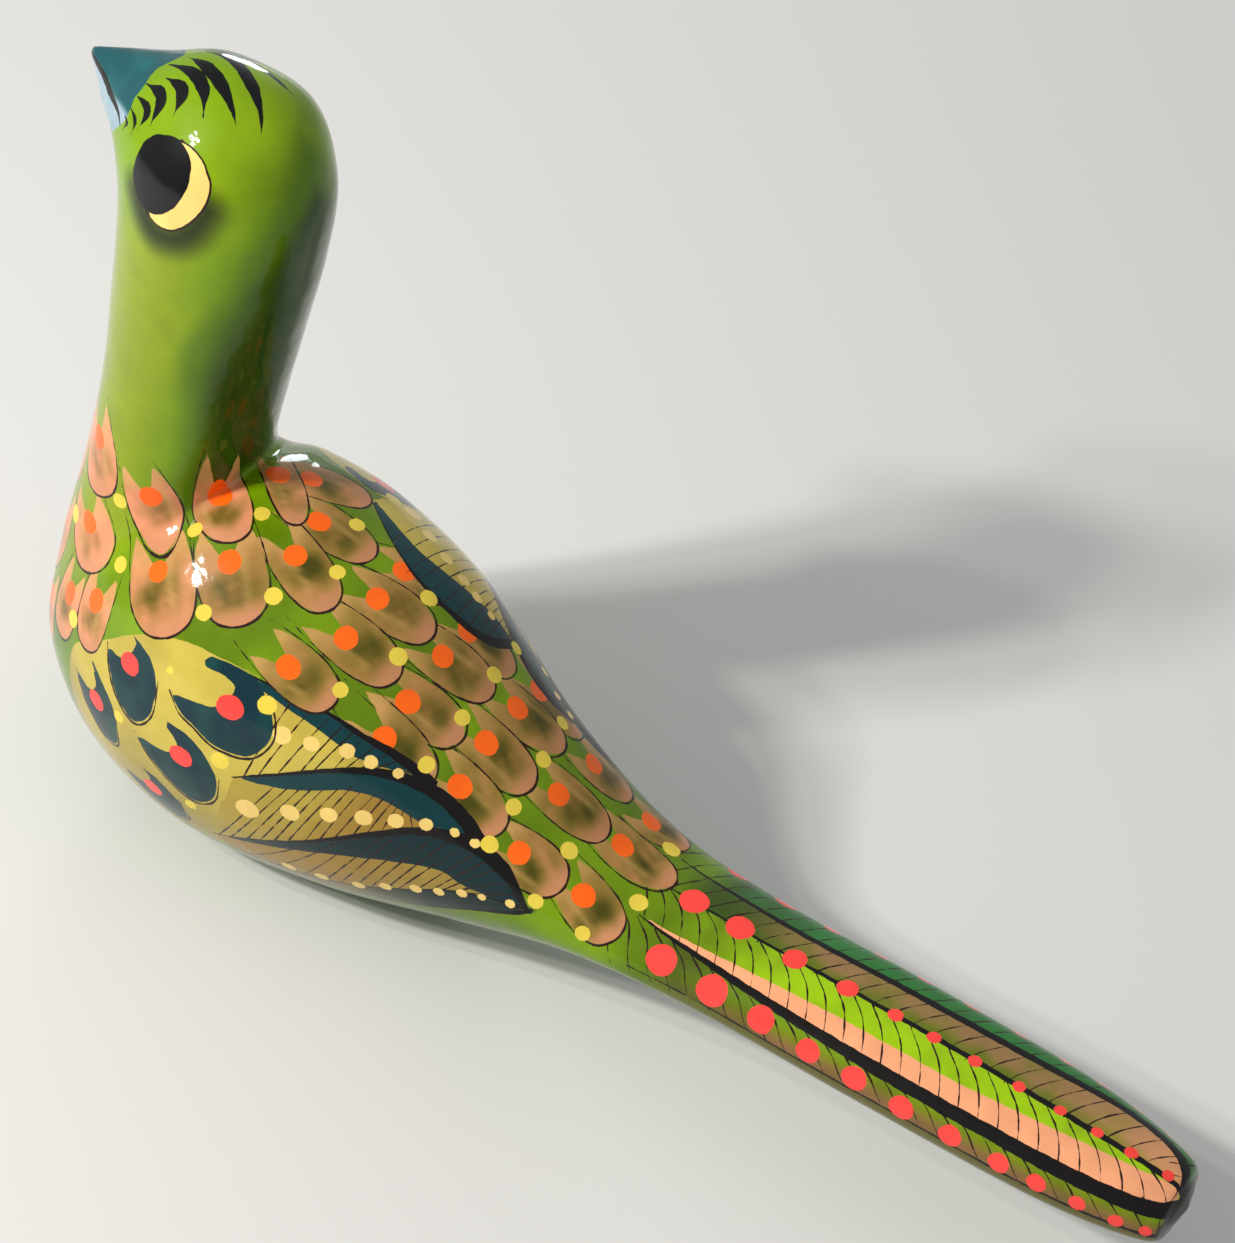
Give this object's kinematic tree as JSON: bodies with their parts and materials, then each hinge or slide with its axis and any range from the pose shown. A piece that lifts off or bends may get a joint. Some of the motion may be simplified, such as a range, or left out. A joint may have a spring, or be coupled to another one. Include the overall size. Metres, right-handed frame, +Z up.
{
  "type": "pottery bird figurine",
  "caption": "Painted and glazed pottery bird with an upright neck, raised beak and long straight tail, resting on its flattened belly.",
  "frame": {"origin": "on the flat seat under the belly, in the plane of symmetry, where the bird meets the table", "axes": "+Z up, the bird faces -Y with its tail towards +Y, and its left side is +X"},
  "size_m": [0.074, 0.2565, 0.1675],
  "materials": {
    "glazed_pottery": "gloss"
  },
  "bodies": {
    "root": {"bird": "glazed_pottery"}
  },
  "joints": []
}
